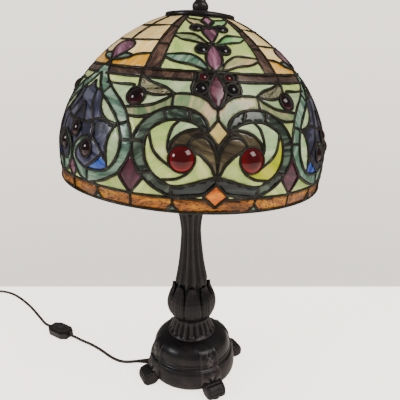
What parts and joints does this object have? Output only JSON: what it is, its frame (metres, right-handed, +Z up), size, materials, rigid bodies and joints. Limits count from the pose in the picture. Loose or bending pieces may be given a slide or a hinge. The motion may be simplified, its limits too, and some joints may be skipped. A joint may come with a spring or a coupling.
{
  "type": "stained glass table lamp",
  "caption": "Table lamp with a domed leaded stained glass shade set with jewels, on a fluted leaf-cup column and four-footed cast base, with an inline switch and corded plug.",
  "frame": {"origin": "centre of the base on the table it stands on", "axes": "+Z up along the column; the four feet point along the diagonals; the cord leaves towards -X"},
  "size_m": [0.8453, 0.4071, 0.6687],
  "materials": {
    "bronze_patina": "satin dark bronze patina with reddish rub-through",
    "pad_rubber": "matt",
    "felt": "brown felt",
    "zinc_steel": "zinc plated",
    "ballast_iron": "raw",
    "brass": "satin",
    "antique_brass": "antique, darkened",
    "liner_board": "waxed board",
    "black_moulding": "moulded insulator",
    "bulb_screw": "bright",
    "frosted_glass": "frosted",
    "lead": "dark patina on solder over copper foil",
    "amber_glass": "rippled amber opal",
    "green_glass": "green opal",
    "blue_glass": "streaky dark blue",
    "brown_glass": "rippled brown",
    "pale_green_glass": "yellow-green opal",
    "cream_glass": "cream opal",
    "ruby_glass": "clear ruby cabochon",
    "garnet_glass": "deep garnet cabochon",
    "cord_plastic": "brown-black vinyl",
    "tie_fabric": "hook and loop",
    "switch_plastic": "semi-gloss black",
    "rocker_plastic": "semi-gloss"
  },
  "bodies": {
    "lamp": {"foot_pads": "pad_rubber", "felt_disc": "felt", "bottom_plate": "zinc_steel", "base_casting": "bronze_patina", "ballast": "ballast_iron", "base_washer": "zinc_steel", "base_nut": "brass", "centre_pipe": "zinc_steel", "pipe_wires": "cord_plastic", "skirt_collar": "bronze_patina", "leaf_cup": "bronze_patina", "fluted_column": "bronze_patina", "column_cap": "bronze_patina", "cluster_body": "antique_brass", "socket_shell_1": "antique_brass", "socket_shell_2": "antique_brass", "socket_liner_1": "liner_board", "socket_liner_2": "liner_board", "socket_core_1": "black_moulding", "socket_core_2": "black_moulding", "riser_rod": "brass", "riser_nut": "brass", "rest_nut": "brass", "shade_rest": "antique_brass", "cord_relief": "cord_plastic", "cord_to_switch": "cord_plastic", "switch_bottom": "switch_plastic", "switch_top": "switch_plastic", "switch_screws": "zinc_steel", "cord_to_coil": "cord_plastic", "cord_coil": "cord_plastic", "cord_tie": "tie_fabric", "cord_tail": "cord_plastic", "plug_body": "cord_plastic", "plug_blades": "brass"},
    "shade": {"shade_ring": "brass", "vase_cap": "bronze_patina", "rim_came": "lead", "panel_came": "lead", "border_tiles": "amber_glass", "border_diamonds": "amber_glass", "jewel_panels": "green_glass", "wing_panels": "blue_glass", "belt_panels": "brown_glass", "upper_leaf_panels": "pale_green_glass", "upper_plain_panels": "cream_glass", "strap_panels": "brown_glass", "ruby_jewels": "ruby_glass", "garnet_jewels": "garnet_glass", "black_jewels": "garnet_glass", "small_jewels": "ruby_glass"},
    "finial": {"finial": "bronze_patina"},
    "bulb_1": {"bulb_base_1": "bulb_screw", "bulb_glass_1": "frosted_glass"},
    "bulb_2": {"bulb_base_2": "bulb_screw", "bulb_glass_2": "frosted_glass"},
    "rocker": {"switch_rocker": "rocker_plastic"}
  },
  "joints": [
    {"name": "shade_turn", "type": "hinge", "parent": "lamp", "child": "shade", "pos_m": [0, 0, 0.364], "axis": [0.0564, 0.0183, 0.9982], "continuous": true},
    {"name": "finial_turn", "type": "hinge", "parent": "lamp", "child": "finial", "pos_m": [0, 0, 0.364], "axis": [0.0564, 0.0183, 0.9982], "continuous": true},
    {"name": "bulb_1_turn", "type": "hinge", "parent": "lamp", "child": "bulb_1", "pos_m": [0, 0, 0.324], "axis": [0.5736, 0, 0.8192], "continuous": true},
    {"name": "bulb_2_turn", "type": "hinge", "parent": "lamp", "child": "bulb_2", "pos_m": [0, 0, 0.324], "axis": [-0.5736, 0, 0.8192], "continuous": true},
    {"name": "switch_rock", "type": "hinge", "parent": "lamp", "child": "rocker", "pos_m": [-0.296, 0.0133, 0.0086], "axis": [0.2588, 0.9659, 0], "range_deg": [0, 12]}
  ]
}
